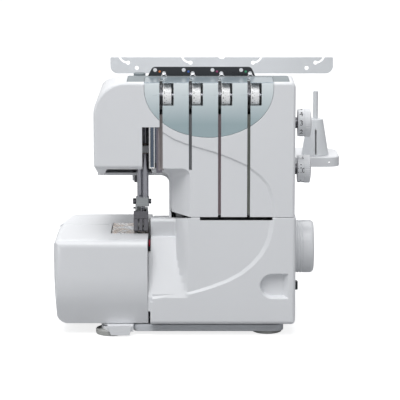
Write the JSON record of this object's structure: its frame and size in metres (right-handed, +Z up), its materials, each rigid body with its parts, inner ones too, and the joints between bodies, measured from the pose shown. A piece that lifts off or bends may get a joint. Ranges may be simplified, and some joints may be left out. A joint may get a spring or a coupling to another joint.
{
  "type": "serger overlock machine",
  "caption": "Domestic overlock sewing machine with a tinted tension cover, swing-open cloth plate, tilting looper cover, side dials, handwheel and a telescopic thread stand.",
  "frame": {"origin": "on the floor under the middle of the bounding box", "axes": "+X to the operator's right (handwheel side), +Y to the back (thread stand), +Z up; the front faces -Y"},
  "size_m": [0.335, 0.262, 0.3018],
  "materials": {
    "white_shell": "satin moulded shell",
    "grey_trim": "matt moulded",
    "tinted_cover": "tinted clear plastic",
    "black_plastic": "satin",
    "dot_colours": "printed dots",
    "dial_plastic": "satin moulded",
    "polished_steel": "polished",
    "ground_steel": "ground",
    "cast_metal": "as cast",
    "bush_bronze": "turned",
    "motor_steel": "painted",
    "belt_rubber": "matt",
    "foot_rubber": "matt",
    "knife_black": "satin black with a red tip"
  },
  "bodies": {
    "machine": {"base_plate": "grey_trim", "front_leg": "white_shell", "rubber_feet": "foot_rubber", "inner_frame": "cast_metal", "case_screws": "ground_steel", "front_cover": "white_shell", "rear_cover": "white_shell", "rear_bed": "white_shell", "top_cover": "grey_trim", "tension_cover": "tinted_cover", "guide_plate": "black_plastic", "colour_dots": "dot_colours", "thread_guides": "polished_steel", "tension_rail": "ground_steel", "tension_spindle": "polished_steel", "tension_discs": "polished_steel", "bushes": "bush_bronze", "needle_plate": "polished_steel", "lower_knife": "ground_steel", "drive_belt": "belt_rubber", "motor": "motor_steel", "dial_spindles": "ground_steel", "hinge_pin": "polished_steel", "inlet_socket": "black_plastic", "spool_tray": "white_shell", "spool_pins": "dial_plastic", "cone_holders": "dial_plastic", "stand_tube": "polished_steel"},
    "tension_1": {"tension_dial_1": "dial_plastic"},
    "tension_2": {"tension_dial_2": "dial_plastic"},
    "tension_3": {"tension_dial_3": "dial_plastic"},
    "tension_4": {"tension_dial_4": "dial_plastic"},
    "pressure": {"pressure_knob": "ground_steel"},
    "needle_bar": {"needle_bar": "polished_steel", "needle_clamp": "ground_steel", "clamp_screws": "polished_steel", "needles": "polished_steel"},
    "presser_bar": {"presser_bar": "polished_steel", "presser_spring": "ground_steel", "presser_ankle": "ground_steel"},
    "presser_foot": {"presser_foot": "black_plastic"},
    "lifter": {"lifter_lever": "ground_steel"},
    "feed": {"feed_dogs": "ground_steel"},
    "knife": {"knife_arm": "knife_black"},
    "lower_looper": {"lower_looper": "ground_steel"},
    "upper_looper": {"upper_looper": "ground_steel"},
    "rocker": {"needle_rocker": "cast_metal"},
    "drive": {"main_shaft": "polished_steel", "shaft_pulley": "motor_steel", "handwheel": "dial_plastic"},
    "motor_rotor": {"motor_pulley": "motor_steel"},
    "stitch_dial": {"stitch_dial": "dial_plastic"},
    "feed_dial": {"feed_dial": "dial_plastic"},
    "cloth_plate": {"cloth_plate": "white_shell"},
    "cover_slide": {"cover_rod": "polished_steel"},
    "looper_cover": {"looper_cover": "white_shell"},
    "switch": {"power_switch": "black_plastic"},
    "stand_sleeve": {"stand_sleeve": "polished_steel"},
    "stand_top": {"stand_rod": "polished_steel", "guide_bar": "dial_plastic"}
  },
  "joints": [
    {"name": "tension_dial_1_turn", "type": "hinge", "parent": "machine", "child": "tension_1", "pos_m": [-0.0388, -0.1158, 0.2755], "axis": [1, 0, 0], "range_deg": [-120, 120]},
    {"name": "tension_dial_2_turn", "type": "hinge", "parent": "machine", "child": "tension_2", "pos_m": [-0.00623, -0.1158, 0.2755], "axis": [1, 0, 0], "range_deg": [-120, 120]},
    {"name": "tension_dial_3_turn", "type": "hinge", "parent": "machine", "child": "tension_3", "pos_m": [0.02634, -0.1158, 0.2755], "axis": [1, 0, 0], "range_deg": [-120, 120]},
    {"name": "tension_dial_4_turn", "type": "hinge", "parent": "machine", "child": "tension_4", "pos_m": [0.05891, -0.1158, 0.2755], "axis": [1, 0, 0], "range_deg": [-120, 120]},
    {"name": "pressure_knob_turn", "type": "hinge", "parent": "machine", "child": "pressure", "pos_m": [-0.0712, -0.065, 0.29], "axis": [0, 0, 1], "range_deg": [-180, 180]},
    {"name": "needle_rocker_swing", "type": "hinge", "parent": "machine", "child": "rocker", "pos_m": [0, -0.001, 0.24], "axis": [1, 0, 0], "range_deg": [-12, 8]},
    {"name": "needle_bar_slide", "type": "slide", "parent": "machine", "child": "needle_bar", "axis": [0, 0, 1], "range_m": [-0.0106, 0.0158]},
    {"name": "lower_looper_swing", "type": "hinge", "parent": "machine", "child": "lower_looper", "pos_m": [-0.084, -0.047, 0.084], "axis": [0, 1, 0], "range_deg": [-8, 12]},
    {"name": "upper_looper_swing", "type": "hinge", "parent": "machine", "child": "upper_looper", "pos_m": [-0.05, -0.047, 0.084], "axis": [0, 1, 0], "range_deg": [-12, 8]},
    {"name": "knife_arm_swing", "type": "hinge", "parent": "machine", "child": "knife", "pos_m": [-0.059, -0.061, 0.1195], "axis": [1, 0, 0], "range_deg": [-4.8, 3.2]},
    {"name": "feed_dog_travel", "type": "slide", "parent": "machine", "child": "feed", "axis": [0, 1, 0], "range_m": [-0.0018, 0.0012]},
    {"name": "lifter_lever_lift", "type": "hinge", "parent": "machine", "child": "lifter", "pos_m": [-0.073, -0.003, 0.163], "axis": [1, 0, 0], "range_deg": [0, 20]},
    {"name": "presser_bar_slide", "type": "slide", "parent": "machine", "child": "presser_bar", "axis": [0, 0, 1], "range_m": [0, 0.0051], "deforming": ["presser_spring"]},
    {"name": "presser_foot_tilt", "type": "hinge", "parent": "presser_bar", "child": "presser_foot", "pos_m": [-0.0705, -0.0656, 0.1224], "axis": [1, 0, 0], "range_deg": [-5, 4]},
    {"name": "handwheel_turn", "type": "hinge", "parent": "machine", "child": "drive", "pos_m": [0.09, -0.061, 0.091], "axis": [1, 0, 0], "continuous": true},
    {"name": "motor_turn", "type": "hinge", "parent": "machine", "child": "motor_rotor", "pos_m": [0.065, -0.003, 0.05], "axis": [1, 0, 0], "continuous": true},
    {"name": "stitch_dial_turn", "type": "hinge", "parent": "machine", "child": "stitch_dial", "pos_m": [0.11, -0.071, 0.2373], "axis": [1, 0, 0], "range_deg": [-120, 120]},
    {"name": "feed_dial_turn", "type": "hinge", "parent": "machine", "child": "feed_dial", "pos_m": [0.11, -0.071, 0.1839], "axis": [1, 0, 0], "range_deg": [-100, 100]},
    {"name": "cloth_plate_swing", "type": "hinge", "parent": "machine", "child": "cloth_plate", "pos_m": [-0.158, -0.051, 0.06], "axis": [0, 0, -1], "range_deg": [0, 90]},
    {"name": "looper_cover_slide", "type": "slide", "parent": "machine", "child": "cover_slide", "axis": [1, 0, 0], "range_m": [0, 0.008]},
    {"name": "looper_cover_tilt", "type": "hinge", "parent": "cover_slide", "child": "looper_cover", "pos_m": [0.02, -0.124, 0.0215], "axis": [1, 0, 0], "range_deg": [0, 90]},
    {"name": "power_switch_rock", "type": "hinge", "parent": "machine", "child": "switch", "pos_m": [0.1025, -0.071, 0.0478], "axis": [0, 0, 1], "range_deg": [0, 8]},
    {"name": "stand_sleeve_rise", "type": "slide", "parent": "machine", "child": "stand_sleeve", "axis": [0, 0, 1], "range_m": [0, 0.078]},
    {"name": "stand_rod_rise", "type": "slide", "parent": "stand_sleeve", "child": "stand_top", "axis": [0, 0, 1], "range_m": [0, 0.08]}
  ],
  "couplings": [
    {"joint": "needle_bar_slide", "follows": "needle_rocker_swing", "m_per_rad": -0.074},
    {"joint": "lower_looper_swing", "follows": "needle_rocker_swing", "ratio": -1},
    {"joint": "upper_looper_swing", "follows": "needle_rocker_swing", "ratio": 1},
    {"joint": "knife_arm_swing", "follows": "needle_rocker_swing", "ratio": 0.4},
    {"joint": "feed_dog_travel", "follows": "needle_rocker_swing", "m_per_rad": 0.0084},
    {"joint": "presser_bar_slide", "follows": "lifter_lever_lift", "m_per_rad": 0.0145},
    {"joint": "motor_turn", "follows": "handwheel_turn", "ratio": 2.8}
  ]
}
